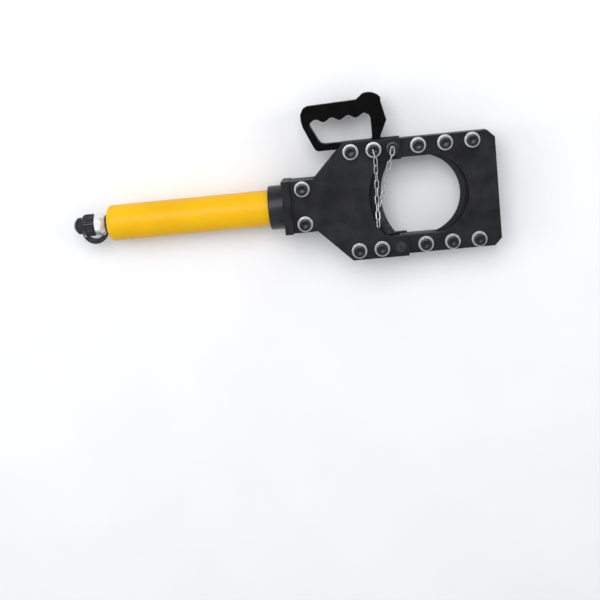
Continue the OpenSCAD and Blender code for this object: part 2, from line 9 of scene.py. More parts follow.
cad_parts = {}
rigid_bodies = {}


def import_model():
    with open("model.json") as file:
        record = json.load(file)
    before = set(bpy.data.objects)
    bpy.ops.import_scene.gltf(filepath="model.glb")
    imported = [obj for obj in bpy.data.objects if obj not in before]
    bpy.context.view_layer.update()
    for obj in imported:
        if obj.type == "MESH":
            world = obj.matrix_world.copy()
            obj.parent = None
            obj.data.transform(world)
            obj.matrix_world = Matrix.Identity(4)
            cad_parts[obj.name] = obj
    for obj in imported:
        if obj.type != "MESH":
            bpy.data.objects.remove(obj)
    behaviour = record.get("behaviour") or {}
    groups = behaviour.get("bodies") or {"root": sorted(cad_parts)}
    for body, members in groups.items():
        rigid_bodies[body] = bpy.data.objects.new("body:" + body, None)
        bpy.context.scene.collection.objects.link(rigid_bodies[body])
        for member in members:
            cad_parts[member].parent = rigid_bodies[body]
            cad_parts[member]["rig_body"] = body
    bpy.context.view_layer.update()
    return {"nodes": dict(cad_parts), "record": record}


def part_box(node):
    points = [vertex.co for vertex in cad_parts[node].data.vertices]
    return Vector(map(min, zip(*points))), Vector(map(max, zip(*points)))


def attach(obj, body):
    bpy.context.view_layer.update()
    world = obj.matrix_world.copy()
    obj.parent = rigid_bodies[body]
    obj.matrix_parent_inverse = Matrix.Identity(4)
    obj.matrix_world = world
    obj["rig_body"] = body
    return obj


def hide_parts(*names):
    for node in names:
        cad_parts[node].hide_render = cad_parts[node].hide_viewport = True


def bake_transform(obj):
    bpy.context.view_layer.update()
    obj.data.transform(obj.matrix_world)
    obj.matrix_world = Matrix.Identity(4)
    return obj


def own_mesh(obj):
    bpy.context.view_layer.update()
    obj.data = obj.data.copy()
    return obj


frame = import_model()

# ---- The tool's own millimetres: +X to the jaw, +Y to the handle, +Z out of the front, from the
# cylinder's axis and the first pair of head screws -------------------------------------------------

MM = 0.001
PIN_X = 64  # the hinge pin and the lock pin
ROW_Y = 76  # the two rows of screws and pins, which lie at plus and minus this
FIT = 0.05  # radial clearance of a running fit, as in part.scad


def middle(node):
    low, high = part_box(node)
    return (low + high) / 2


AXIS = middle("cylinder_barrel")
ORIGIN = Vector((middle("hinge_pin").x - PIN_X * MM, AXIS.y, AXIS.z))


def at(x, y, z):
    """A point of the tool in the row frame, in metres."""
    return ORIGIN + MM * Vector((x, y, z))


def span(node):
    """Lowest and highest corner of a CAD node in the tool's millimetres."""
    return [(corner - ORIGIN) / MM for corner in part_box(node)]


# ---- Camera, light and floor -------------------------------------------------------------------


def aim(obj, target):
    obj.rotation_euler = (Vector(target) - obj.location).to_track_quat("-Z", "Y").to_euler()


def add_camera():
    """Nearly square on to the front of the tool, turned so that the barrel slopes down to the left."""
    yaw, pitch, roll = (math.radians(a) for a in (-4.13, 10.84, 5.92))
    offset = Vector((-0.0275, 0.1883, -1.9022))
    data = bpy.data.cameras.new("camera")
    data.sensor_width = 36
    data.lens = 72
    camera = bpy.data.objects.new("camera", data)
    bpy.context.scene.collection.objects.link(camera)
    turn = Matrix.Rotation(roll, 4, "Z") @ Matrix.Rotation(pitch, 4, "X") @ Matrix.Rotation(yaw, 4, "Y")
    camera.matrix_world = (Matrix.Translation(offset) @ turn).inverted()
    bpy.context.scene.camera = camera


def add_softbox(name, place, target, width, height, watts):
    data = bpy.data.lights.new(name, "AREA")
    data.shape = "RECTANGLE"
    data.size = width
    data.size_y = height
    data.energy = watts
    light = bpy.data.objects.new(name, data)
    bpy.context.scene.collection.objects.link(light)
    light.location = place
    aim(light, target)


def add_lights():
    """A large soft key over the handle's side, two weaker boxes at the ends, and a pale world."""
    add_softbox("key_softbox", (-0.3, 1.15, 2.6), (0, 0, 0), width=2.4, height=1.8, watts=52)
    add_softbox("left_softbox", (-2.4, 0.1, 1.5), (-0.1, 0, 0), width=1.0, height=1.6, watts=16)
    add_softbox("right_softbox", (2.4, 0.3, 1.5), (0.1, 0, 0), width=1.0, height=1.6, watts=14)
    world = bpy.data.worlds.new("studio")
    world.use_nodes = True
    background = world.node_tree.nodes["Background"]
    background.inputs["Color"].default_value = (0.95, 0.96, 1.0, 1)
    background.inputs["Strength"].default_value = 0.62
    bpy.context.scene.world = world
    bpy.context.scene.view_settings.view_transform = "Standard"


# ---- Materials ---------------------------------------------------------------------------------

# Lighter colours for bevelled edges: partly wear, partly a painted highlight along the edges.
WORN_AND_SHEEN_STEEL, WORN_AND_SHEEN_PLATE = (0.16, 0.16, 0.17), (0.3, 0.3, 0.31)


class Look:
    """A Principled material with short helpers for its nodes. Its coordinates are metres at rest."""

    def __init__(self, name, metallic=0.0, coat=0.0, specular=0.5):
        self.material = bpy.data.materials.new(name)
        self.material.use_nodes = True
        self.tree = self.material.node_tree
        self.shader = self.tree.nodes["Principled BSDF"]
        self.shader.inputs["Metallic"].default_value = metallic
        self.shader.inputs["Specular IOR Level"].default_value = specular
        self.shader.inputs["Coat Weight"].default_value = coat
        self.shader.inputs["Coat Roughness"].default_value = 0.12
        self.place = self.tree.nodes.new("ShaderNodeTexCoord").outputs["Object"]

    def node(self, kind, inputs, **settings):
        node = self.tree.nodes.new("ShaderNode" + kind)
        for key, value in settings.items():
            setattr(node, key, value)
        for key, value in inputs.items():
            if isinstance(value, bpy.types.NodeSocket):
                self.tree.links.new(value, node.inputs[key])
            else:
                node.inputs[key].default_value = value
        return node

    def noise(self, size, detail=3.0, stretch=(1, 1, 1)):
        """Noise whose features are about size millimetres across, times stretch along each axis."""
        scale = [1 / (size * MM * s) for s in stretch]
        mapping = self.node("Mapping", {"Vector": self.place, "Scale": scale})
        inputs = {"Vector": mapping.outputs[0], "Scale": 1.0, "Detail": detail}
        return self.node("TexNoise", inputs).outputs["Fac"]

    def spread(self, value, low, high, start=0.35, end=0.65):
        inputs = {"Value": value, "From Min": start, "From Max": end, "To Min": low, "To Max": high}
        return self.node("MapRange", inputs).outputs[0]

    def product(self, a, b):
        return self.node("Math", {0: a, 1: b}, operation="MULTIPLY").outputs[0]

    def total(self, a, b):
        return self.node("Math", {0: a, 1: b}, operation="ADD").outputs[0]

    def mix(self, share, first, second):
        colours = {6: opaque(first), 7: opaque(second)}
        return self.node("Mix", {0: share, **colours}, data_type="RGBA").outputs[2]

    def mask(self, name):
        return self.node("Attribute", {}, attribute_name=name).outputs["Fac"]

    def distance_from(self, centre, along=(0, 0, 1)):
        """Distance in millimetres from a line through centre, along one axis."""
        keep = [(1 - a) / MM for a in along]
        offset = self.node("VectorMath", {0: self.place, 1: centre}, operation="SUBTRACT")
        flat = self.node("VectorMath", {0: offset.outputs[0], 1: keep}, operation="MULTIPLY")
        return self.node("VectorMath", {0: flat.outputs[0]}, operation="LENGTH").outputs["Value"]

    def ripple(self, distance, pitch):
        """A wave from 0 to 1 of a distance in millimetres."""
        turns = self.product(distance, 2 * math.pi / pitch)
        wave = self.node("Math", {0: turns}, operation="SINE").outputs[0]
        return self.spread(wave, 0, 1, -1, 1)

    def colour(self, value):
        self.set("Base Color", value)

    def set(self, socket, value):
        self.tree.links.new(value, self.shader.inputs[socket])

    def relief(self, height, depth):
        """Bump of a height from 0 to 1, whose full height is depth millimetres."""
        bump = self.node("Bump", {"Height": height, "Distance": depth * MM, "Strength": 1.0})
        self.set("Normal", bump.outputs[0])


def opaque(colour):
    return colour if isinstance(colour, bpy.types.NodeSocket) else (*colour, 1.0)


def finish(name, colours, patch, rough, grain, depth, edge_wear_and_sheen=None, wear_and_sheen_share=0.6, scratches=0.3, **shader):
    """The common finish: two close colours in soft patches, uneven gloss, fine grain, hairline scratches
    and, on bevelled edges, a lighter colour that is partly wear and partly a painted highlight. Sizes are in
    millimetres."""
    look = Look(name, **shader)
    patches = look.spread(look.noise(patch, 4), 0, 1)
    hairs = look.spread(look.noise(4, 2, (9, 0.05, 1)), 0, 1, 0.66, 0.72)
    base = look.mix(patches, *colours)
    if edge_wear_and_sheen:
        # Bevelled edges take a lighter colour in patches: partly wear, partly a painted highlight.
        rubbed_and_sheen = look.spread(look.noise(3.5, 4), 0, wear_and_sheen_share, 0.3, 0.7)
        base = look.mix(look.product(look.mask("edge"), rubbed_and_sheen), base, edge_wear_and_sheen)
    look.colour(base)
    gloss = look.spread(look.noise(patch / 3, 5), rough[0], rough[1])
    look.set("Roughness", look.total(gloss, look.product(hairs, -0.2 * scratches)))
    surface = look.noise(grain, 5)
    look.relief(look.total(surface, look.product(hairs, -scratches)), depth)
    return look.material


def turned_finish(name, colours, rough, pitch, depth, axis=(1, 0, 0), centre=None, edge_wear_and_sheen=None, **shader):
    """A lathe-turned or brushed metal, with fine rings round an axis."""
    look = Look(name, **shader)
    centre = centre or at(0, 0, 0)
    across = look.distance_from(centre, axis)
    offset = look.node("VectorMath", {0: look.place, 1: centre}, operation="SUBTRACT").outputs[0]
    along = look.node("VectorMath", {0: offset, 1: axis}, operation="DOT_PRODUCT").outputs["Value"]
    travel = look.total(across, look.product(along, 1 / MM))
    wobble = look.product(look.noise(2.5, 2), pitch)
    rings = look.ripple(look.total(travel, wobble), pitch)
    patches = look.spread(look.noise(9, 4), 0, 1)
    base = look.mix(patches, *colours)
    # Bevelled edges take a lighter colour: partly wear, partly a painted highlight.
    if edge_wear_and_sheen:
        base = look.mix(look.product(look.mask("edge"), 0.5), base, edge_wear_and_sheen)
    look.colour(base)
    look.set("Roughness", look.spread(look.noise(5, 4), rough[0], rough[1]))
    look.relief(look.total(rings, look.noise(0.6, 3)), depth)
    return look.material


def ground_blade_finish(name, edge_centre, edge_r, bevel):
    """Blackened tool steel, with the cutting bevel ground in rings about the edge's own centre."""
    deep, pale, cut = (0.006, 0.006, 0.007), (0.011, 0.011, 0.013), (0.028, 0.029, 0.031)
    coarse_pitch, fine_pitch = 2.3, 0.45
    look = Look(name, metallic=0.4, specular=0.3)
    radius = look.distance_from(edge_centre)
    ground = look.spread(radius, 1, 0, edge_r + bevel - 0.6, edge_r + bevel + 0.2)
    coarse = look.ripple(look.total(radius, look.product(look.noise(14, 2), 1.6)), coarse_pitch)
    fine = look.ripple(look.total(radius, look.noise(4, 2)), fine_pitch)
    patches = look.spread(look.noise(16, 5), 0, 1)
    black = look.mix(patches, deep, pale)
    lines = look.total(look.product(coarse, 0.7), look.product(fine, 0.3))
    steel = look.mix(lines, deep, cut)
    base = look.mix(ground, black, steel)
    # Bevelled edges take the lighter steel: partly wear, partly a painted highlight.
    look.colour(look.mix(look.product(look.mask("edge"), 0.5), base, WORN_AND_SHEEN_STEEL))
    look.set("Roughness", look.spread(look.noise(7, 4), 0.32, 0.46))
    look.relief(look.total(look.product(look.product(lines, ground), 0.8), look.noise(0.5, 3)), 0.012)
    return look.material


def paint_finish():
    """Satin warm yellow enamel with a little orange peel and a few dull specks of dust."""
    look = Look("barrel_paint", coat=0.06, specular=0.18)
    patches = look.spread(look.noise(45, 3), 0, 1)
    base = look.mix(patches, (0.72, 0.385, 0.0005), (0.78, 0.43, 0.001))
    specks = look.spread(look.noise(1.2, 1), 0, 0.35, 0.72, 0.78)
    look.colour(look.mix(specks, base, (0.55, 0.30, 0.02)))
    look.set("Roughness", look.spread(look.noise(12, 4), 0.38, 0.48))
    peel = look.total(look.noise(2.6, 2), look.product(look.noise(0.7, 2), 0.25))
    look.relief(peel, 0.03)
    return look.material


def floor_finish():
    look = Look("studio_floor")
    cloud = look.spread(look.noise(160, 3), 0, 1)
    look.colour(look.mix(cloud, (0.79, 0.793, 0.805), (0.81, 0.813, 0.825)))
    look.set("Roughness", look.spread(look.noise(30, 3), 0.62, 0.72))
    return look.material


def black_coating(name, tone, rough, grain, depth, patch=22, edge_wear_and_sheen=WORN_AND_SHEEN_STEEL, wear_and_sheen_share=0.5, **shader):
    """A near-black coating that wavers between a tone of grey, slightly cool, and a lighter one."""
    # By default bevelled edges take the lighter steel, which is partly wear and partly a painted highlight.
    deep = (tone, 1.02 * tone, 1.1 * tone)
    light = tuple(2.4 * c for c in deep)
    shader.setdefault("specular", 0.12)
    return finish(name, (deep, light), patch, rough, grain, depth, edge_wear_and_sheen, wear_and_sheen_share, **shader)


# The blackened parts, from the flat plates to the glossy cap
# The lighter edge colours and shares here are partly wear, partly a painted highlight on bevelled edges.
BLACK_COATINGS = {
    "black_steel": dict(tone=0.008, rough=(0.42, 0.56), grain=0.35, depth=0.006, patch=30),
    "block_black": dict(tone=0.007, rough=(0.38, 0.48), grain=0.4, depth=0.006),
    "guide_black": dict(tone=0.014, rough=(0.32, 0.44), grain=0.3, depth=0.004, patch=16, specular=0.3),
    "collar_black": dict(tone=0.008, rough=(0.30, 0.38), grain=0.6, depth=0.005, patch=14, specular=0.3),
    "handle_black": dict(
        tone=0.001, rough=(0.32, 0.42), grain=0.9, depth=0.016, patch=12, wear_and_sheen_share=0.3, specular=0.04
    ),
    "screw_black": dict(
        tone=0.008, rough=(0.16, 0.26), grain=0.3, depth=0.003, patch=6, edge_wear_and_sheen=WORN_AND_SHEEN_PLATE, metallic=0.3,
        specular=0.5
    ),
    "cap_black": dict(tone=0.003, rough=(0.20, 0.30), grain=0.4, depth=0.006, patch=8, specular=0.4),
    "rubber_black": dict(tone=0.016, rough=(0.50, 0.62), grain=0.5, depth=0.020, patch=7, edge_wear_and_sheen=None),
}

# Zinc and nickel plate, spring steel, and the plastics of the piston
PLATED_AND_MOULDED = {
    # The lighter edge colours here are partly wear, partly a painted highlight on bevelled edges.
    "stud_steel": dict(
        colours=((0.07, 0.07, 0.075), (0.13, 0.13, 0.135)), patch=3, rough=(0.30, 0.42), grain=0.5,
        depth=0.004, edge_wear_and_sheen=WORN_AND_SHEEN_PLATE, metallic=0.8
    ),
    "bright_zinc": dict(
        colours=((0.40, 0.41, 0.42), (0.56, 0.57, 0.58)), patch=5, rough=(0.26, 0.38), grain=0.6,
        depth=0.003, edge_wear_and_sheen=(0.85, 0.85, 0.86), metallic=0.85
    ),
    "coupler_plate": dict(
        colours=((0.72, 0.72, 0.74), (0.84, 0.84, 0.86)), patch=6, rough=(0.30, 0.42), grain=0.5,
        depth=0.004, edge_wear_and_sheen=(0.92, 0.92, 0.92), metallic=0.7
    ),
    "spring_steel": dict(
        colours=((0.09, 0.09, 0.10), (0.16, 0.16, 0.17)), patch=6, rough=(0.30, 0.42), grain=0.4,
        depth=0.010, metallic=0.9
    ),
    "seal_blue": dict(
        colours=((0.03, 0.04, 0.16), (0.05, 0.06, 0.22)), patch=5, rough=(0.35, 0.45), grain=0.4, depth=0.010
    ),
    "guide_band": dict(
        colours=((0.70, 0.62, 0.44), (0.78, 0.70, 0.54)), patch=4, rough=(0.45, 0.6), grain=0.4, depth=0.015
    ),
}

# Metals with the fine rings of a lathe
TURNED_METALS = {
    # The lighter edge colours here are partly wear, partly a painted highlight on bevelled edges.
    "pin_steel": dict(
        colours=((0.022, 0.022, 0.024), (0.045, 0.045, 0.048)), rough=(0.30, 0.42), pitch=0.5, depth=0.004,
        axis=(0, 0, 1), centre=at(PIN_X, ROW_Y, 0), edge_wear_and_sheen=WORN_AND_SHEEN_PLATE, metallic=0.6
    ),
    "polished_steel": dict(
        colours=((0.62, 0.63, 0.64), (0.70, 0.71, 0.72)), rough=(0.08, 0.16), pitch=0.4, depth=0.002,
        metallic=1.0
    ),
    "machined_steel": dict(
        colours=((0.16, 0.165, 0.17), (0.20, 0.205, 0.21)), rough=(0.30, 0.42), pitch=0.8, depth=0.010,
        edge_wear_and_sheen=(0.5, 0.5, 0.52), metallic=0.9
    ),
    "bronze": dict(
        colours=((0.42, 0.25, 0.09), (0.52, 0.33, 0.13)), rough=(0.25, 0.35), pitch=0.5, depth=0.006,
        metallic=1.0
    ),
}


def make_materials():
    """Every material by the name that a piece asks for. The blades' sizes are those of their CAD edges."""
    looks = {"barrel_paint": paint_finish()}
    for make, group in ((black_coating, BLACK_COATINGS), (finish, PLATED_AND_MOULDED),
                        (turned_finish, TURNED_METALS)):
        for name, settings in group.items():
            looks[name] = make(name, **settings)
    looks["moving_blade"] = ground_blade_finish("moving_blade_steel", at(135, 0, 0), edge_r=95, bevel=12)
    looks["fixed_blade"] = ground_blade_finish("fixed_blade_steel", at(100, 0, 0), edge_r=62, bevel=8)
    return looks


# ---- Mesh helpers ------------------------------------------------------------------------------

SHARP = math.radians(32)


def polish(mesh):
    """Faces all point outwards and are smooth, apart from the corners sharper than SHARP."""
    bm = bmesh.new()
    bm.from_mesh(mesh)
    bmesh.ops.remove_doubles(bm, verts=bm.verts, dist=1e-7)
    bmesh.ops.recalc_face_normals(bm, faces=bm.faces)
    bm.to_mesh(mesh)
    bm.free()
    mesh.shade_smooth()
    mesh.set_sharp_from_angle(angle=SHARP)


def even_normals(obj):
    """Large flat faces keep flat shading next to their bevels."""
    normals = obj.modifiers.new("even_normals", "WEIGHTED_NORMAL")
    normals.keep_sharp = True


def add_piece(name, shapes, material, slot, body, *nodes):
    """Joins shapes into one piece on a body, in place of nodes. Each shape is its points in the tool's
    millimetres and its faces. With no body, the piece is left unattached."""
    points, faces = [], []
    for shape_points, shape_faces in shapes:
        start = len(points)
        points += [at(*p) for p in shape_points]
        faces += [[start + i for i in face] for face in shape_faces]
    mesh = bpy.data.meshes.new(name)
    mesh.from_pydata(points, [], faces)
    polish(mesh)
    obj = bpy.data.objects.new(name, mesh)
    bpy.context.scene.collection.objects.link(obj)
    mesh.materials.append(material)
    if body:
        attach(obj, body)
    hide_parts(*nodes)
    return obj


def lattice(rings, closed_ends=False, loop=False):
    """Faces over closed rings of equal length, with both ends capped or joined in a loop."""
    count = len(rings[0])
    points = [p for ring in rings for p in ring]
    faces = []
    last = len(rings) if loop else len(rings) - 1
    for i in range(last):
        row, following = i * count, (i + 1) % len(rings) * count
        for j in range(count):
            k = (j + 1) % count
            faces.append([row + j, row + k, following + k, following + j])
    if closed_ends:
        faces.append(list(range(count)))
        faces.append([len(points) - count + j for j in range(count)])
    return points, faces


def turned(profile, sides=128, axis="x", centre=(0, 0, 0), loop=False):
    """A shape turned about an axis. Each step of the profile is a distance along it and a radius,
    which may be a function of the angle."""
    rings = []
    for along, radius in profile:
        ring = []
        for i in range(sides):
            a = 2 * math.pi * i / sides
            r = radius(a) if callable(radius) else radius
            u, v = r * math.cos(a), r * math.sin(a)
            step = (along, u, v) if axis == "x" else (u, v, along)
            ring.append([c + s for c, s in zip(centre, step)])
        rings.append(ring)
    return lattice(rings, closed_ends=not loop, loop=loop)


def rounded(profile, radius, steps=3, loop=False):
    """The profile with each corner rounded. The corners of a loop include its first and last points."""
    result = []
    count = len(profile)
    for i, (x, y) in enumerate(profile):
        if not loop and i in (0, count - 1):
            result.append((x, y))
            continue
        corner = Vector((x, y))
        before, after = Vector(profile[i - 1]) - corner, Vector(profile[(i + 1) % count]) - corner
        cut = min(radius, 0.45 * before.length, 0.45 * after.length)
        start, end = corner + cut * before.normalized(), corner + cut * after.normalized()
        for k in range(steps + 1):
            t = k / steps
            result.append(tuple((1 - t) ** 2 * start + 2 * t * (1 - t) * corner + t * t * end))
    return result


def arc(cx, cy, r, start, end, steps):
    angles = [math.radians(start + (end - start) * i / steps) for i in range(steps + 1)]
    return [(cx + r * math.cos(a), cy + r * math.sin(a)) for a in angles]


def hexagon(across_flats, turn=0.0):
    """The radius of a hexagon as a function of the angle. A corner is at turn and every 60 degrees on."""
    def radius(a):
        from_flat = (a - turn) % (math.pi / 3) - math.pi / 6
        return across_flats / 2 / math.cos(from_flat)
    return radius


def smaller(radius, limit):
    return lambda a: min(radius(a), limit)


def sweep(path, radius, sides=14, loop=False):
    """A round wire along a path of points. Its radius may be a function of the place along the path."""
    rings = []
    count = len(path)
    side = None
    for i, place in enumerate(path):
        before = path[i - 1] if loop or i else place
        after = path[(i + 1) % count] if loop or i < count - 1 else place
        along = (Vector(after) - Vector(before)).normalized()
        if side is None:
            side = along.orthogonal().normalized()
        side = (side - side.dot(along) * along).normalized()
        other = along.cross(side)
        r = radius(i / count) if callable(radius) else radius
        rings.append([
            Vector(place) + r * (math.cos(a) * side + math.sin(a) * other)
            for a in (2 * math.pi * j / sides for j in range(sides))
        ])
    return lattice(rings, closed_ends=not loop, loop=loop)


def eased(points, cut, steps=6):
    """An open path through 3-D points with its corners rounded."""
    corners = [Vector(p) for p in points]
    path = [corners[0]]
    for before, corner, after in zip(corners, corners[1:], corners[2:]):
        start = corner + cut * (before - corner).normalized()
        end = corner + cut * (after - corner).normalized()
        path += [(1 - t) ** 2 * start + 2 * t * (1 - t) * corner + t * t * end
                 for t in (k / steps for k in range(steps + 1))]
    return path + [corners[-1]]


# Angles between faces: one plane, a corner to bevel, and a corner to keep sharp
FLAT, CORNER, CREASE = (math.radians(a) for a in (0.2, 30, 50))


def dress(node, material, bevel, segments=2, rides=True):
    """A copy of a CAD node with its flat faces whole and its outer corners bevelled, which the mask edge
    marks. It rides on the node's body, unless rides is false, when it is left unattached."""
    source = frame["nodes"][node]
    bm = bmesh.new()
    bm.from_mesh(source.data)
    bmesh.ops.remove_doubles(bm, verts=bm.verts, dist=1e-6)
    bmesh.ops.dissolve_limit(bm, angle_limit=FLAT, verts=bm.verts, edges=bm.edges)
    mark = bm.faces.layers.float.new("edge")
    corners = [e for e in bm.edges if e.is_convex and e.calc_face_angle(0) > CORNER]
    cut = bmesh.ops.bevel(
        bm, geom=corners, offset=bevel * MM, segments=segments, profile=0.5, affect="EDGES",
        clamp_overlap=True
    )
    for face in cut["faces"]:
        face[mark] = 1.0
    mesh = bpy.data.meshes.new(node + "_finished")
    bm.to_mesh(mesh)
    bm.free()
    mesh.shade_smooth()
    mesh.set_sharp_from_angle(angle=CREASE)
    obj = bpy.data.objects.new(node + "_finished", mesh)
    bpy.context.scene.collection.objects.link(obj)
    mesh.materials.append(material)
    even_normals(obj)
    if rides:
        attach(obj, source["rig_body"])
    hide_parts(node)
    return obj


# ---- Cylinder ----------------------------------------------------------------------------------

BARREL_STEP = 0.5  # depth of the seat for the collar


def make_barrel(looks):
    """The tube, with its rounded rear end, bore, port, recess for the gland's flange and stepped front."""
    low, high = span("cylinder_barrel")
    r, fillet, dome, dome_r = high.y, 9, 1.3, 12
    bore_r = span("piston")[1].y + FIT
    rear, bore_x = low.x + dome, low.x + 16
    flange_r, flange_x = span("rod_gland")[1].y + FIT, high.x - 10
    port_r = span("port_washer")[1].y - 1.25
    seat_x, seat_r = span("barrel_collar")[0].x, r - BARREL_STEP
    outside = [(low.x, port_r), (low.x, dome_r), (rear, r - fillet)]
    outside += arc(rear + fillet, r - fillet, fillet, 180, 90, 12)
    outside += [(seat_x, r), (seat_x, seat_r), (high.x - 1, seat_r), (high.x, seat_r - 0.6)]
    inside = [(high.x, flange_r), (flange_x, flange_r), (flange_x, bore_r)]
    inside += [(bore_x, bore_r), (bore_x, port_r)]
    tube = turned(outside + inside, sides=192, loop=True)
    add_piece("barrel_tube", [tube], looks["barrel_paint"], "barrel_paint", "head", "cylinder_barrel")


def make_collar(looks):
    """The chamfered ring on the barrel's seat."""
    low, high = span("barrel_collar")
    inner = span("cylinder_barrel")[1].y - BARREL_STEP + FIT
    chamfer = 1.5
    profile = [(low.x, inner), (low.x, high.y - chamfer), (low.x + chamfer, high.y)]
    profile += [(high.x, high.y), (high.x, inner)]
    ring = turned(rounded(profile, 0.5, loop=True), sides=192, loop=True)
    add_piece("collar_ring", [ring], looks["collar_black"], "collar_black", "head", "barrel_collar")


def make_return_spring(looks):
    """The coil round the rod."""
    low, high = span("return_spring")
    wire, turns, per_turn = 5, 15, 28
    mean_r = high.y - wire / 2
    run = high.x - low.x - wire
    steps = turns * per_turn
    path = []
    for i in range(steps + 1):
        a = 2 * math.pi * i / per_turn
        path.append((low.x + wire / 2 + run * i / steps, mean_r * math.cos(a), mean_r * math.sin(a)))
    coil, steel = sweep(path, wire / 2, sides=12), looks["spring_steel"]
    spring = add_piece("return_coil", [coil], steel, "spring_steel", "head", "return_spring")
    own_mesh(spring)


# ---- Coupler, dust cap and strap ---------------------------------------------------------------


def make_coupler(looks):
    """A threaded spigot, hexagon, flare and neck in one turned body."""
    low, high = span("coupler_body")
    hex_x, flare_x, neck_x = -410, -400, -393
    across, thread_r, pitch, depth = 30, 13, 1.5, 0.85
    root_r, bore_r, oil_r = thread_r - 1.4, 5, 3.5
    corner_r = across / 2 / math.cos(math.pi / 6)
    per_pitch = 6

    def thread(x):
        def radius(a):
            phase = (x / pitch - a / (2 * math.pi)) % 1
            lead_in = 0.5 if x < low.x + 0.7 else 0
            return thread_r - depth * abs(2 * phase - 1) - lead_in
        return radius

    steps = int((hex_x - 1.2 - low.x) / pitch * per_pitch)
    profile = [(low.x, bore_r), (low.x, thread_r - 1.6)]
    for i in range(steps):
        x = low.x + 0.2 + i * pitch / per_pitch
        profile.append((x, thread(x)))
    profile += [(hex_x - 1, root_r), (hex_x, root_r)]
    hexa = hexagon(across)
    for along, chamfer in ((0, 2.4), (0.5, 1.5), (1.2, 0.6), (1.8, 0), (8.2, 0), (8.8, 0.6), (9.4, 1.4)):
        profile.append((hex_x + along, smaller(hexa, corner_r - chamfer)))
    spigot_x, neck_r, spigot_r = low.x + 35.6, 10, 8.5
    profile += rounded([
        (flare_x - 0.5, 16), (flare_x, 16.5), (neck_x, 12), (neck_x, neck_r), (spigot_x, neck_r),
        (spigot_x, spigot_r), (high.x, spigot_r), (high.x, oil_r)
    ], 0.5)
    profile += [(flare_x, oil_r), (flare_x, bore_r)]
    body = turned(profile, sides=96, loop=True)
    add_piece("coupler_nut", [body], looks["coupler_plate"], "coupler_plate", "head", "coupler_body")


def make_dust_cap(looks):
    """A knurled cap with a neck for its strap and a domed knob."""
    low, high = span("dust_cap")
    rim_r, neck_r, knob_r, ball_r = high.y, 9, 13, 15
    root_r, shoulder_r, inside_r, centre_r = rim_r - 0.75, 13.2, 13.3, 0.6
    body_x, knob_x, floor_x = low.x + 14, low.x + 7.5, low.x + 16.4
    ridges, steps = 30, 12

    def knurl(height):
        return lambda a: root_r + height * max(0.0, math.cos(ridges * a)) ** 0.7

    dome = []
    for i in range(steps + 1):
        r = centre_r + (knob_r - centre_r) * i / steps
        dome.append((low.x + ball_r - math.sqrt(ball_r ** 2 - r * r), r))
    neck = [dome[-1], (knob_x, knob_r), (knob_x, neck_r), (body_x, neck_r), (body_x, shoulder_r)]
    profile = dome + rounded(neck, 0.5)[1:]
    profile += [(body_x + 0.3, shoulder_r + 0.4), (body_x + 3, root_r - 0.3), (body_x + 3.5, root_r)]
    height = rim_r - root_r
    grip = [(4.0, 0.0), (4.8, 1.0), (17.6, 1.0), (18.4, 0.0)]
    profile += [(body_x + along, knurl(height * share)) for along, share in grip]
    profile += [(high.x - 0.5, root_r), (high.x, root_r - 0.5)]
    profile += [(high.x, inside_r + 0.5), (high.x - 0.6, inside_r)]
    profile += [(floor_x, inside_r), (floor_x, centre_r)]
    cap = turned(profile, sides=240)
    add_piece("dust_cap_turned", [cap], looks["cap_black"], "cap_black", "dust_cap", "dust_cap")


def make_strap(looks):
    """The rubber strap between the coupler's neck and the cap."""
    strap = dress("cap_strap", looks["rubber_black"], bevel=1.1, segments=3, rides=False)
    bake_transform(strap)


# ---- Fasteners ---------------------------------------------------------------------------------


def cap_screw(x, y, face_z, length, turn):
    """A socket cap screw whose knurled head stands on face_z. The profile runs from the shank's end."""
    shank_r, head_r, head_h, across, depth = 6, 9, 12, 10, 6
    ridges, relief = 48, 0.12
    tip, top, floor = face_z - length, face_z + head_h, face_z + head_h - depth
    socket = hexagon(across, turn)

    def knurl(a):
        return head_r - relief + relief * math.cos(ridges * a)

    shank = [(tip, 0.6), (tip, shank_r - 1), (tip + 1, shank_r), (face_z, shank_r)]
    head = [(face_z, head_r - 0.5), (face_z + 0.4, knurl), (top - 2.2, knurl), (top - 1.8, head_r - 0.25)]
    crown = [(top - 0.9, head_r - 0.3), (top - 0.25, head_r - 0.75), (top, head_r - 1.2)]
    recess = [
        (top, lambda a: socket(a) + 0.55), (top - 0.5, socket), (floor, socket),
        (floor - 0.02, lambda a: socket(a) - 0.6), (floor - 1.4, 0.6)
    ]
    return turned(shank + head + crown + recess, sides=192, axis="z", centre=(x, y, 0))


def washer(x, y, z0, z1):
    """A flat washer with rounded rims."""
    outer, inner, edge_r = 12, 6.5, 0.45
    profile = rounded([(z0, inner), (z0, outer), (z1, outer), (z1, inner)], edge_r, loop=True)
    return turned(profile, sides=96, axis="z", centre=(x, y, 0), loop=True)


def nut(x, y, z0, z1, turn):
    """A hexagon nut with both ends chamfered, round a threaded hole."""
    across, bore = 18, 6.05
    corner_r = across / 2 / math.cos(math.pi / 6)
    flats = hexagon(across, turn)
    outside = []
    for along, chamfer in ((0, 1.6), (0.35, 1.0), (0.8, 0.35), (1.2, 0)):
        outside.append((z0 + along, smaller(flats, corner_r - chamfer)))
    outside += [(z0 + z1 - z, r) for z, r in reversed(outside)]
    profile = [(z0, bore + 0.5), *outside, (z1, bore + 0.5), (z1 - 0.5, bore), (z0 + 0.5, bore)]
    return turned(profile, sides=96, axis="z", centre=(x, y, 0), loop=True)


HEAD_PLACES = [(0, ROW_Y), (35, ROW_Y), (0, -ROW_Y), (35, -ROW_Y), (-79, 27), (-79, -27)]
YOKE_PLACES = [(x, s * ROW_Y) for x in (103, 144, 185) for s in (-1, 1)]


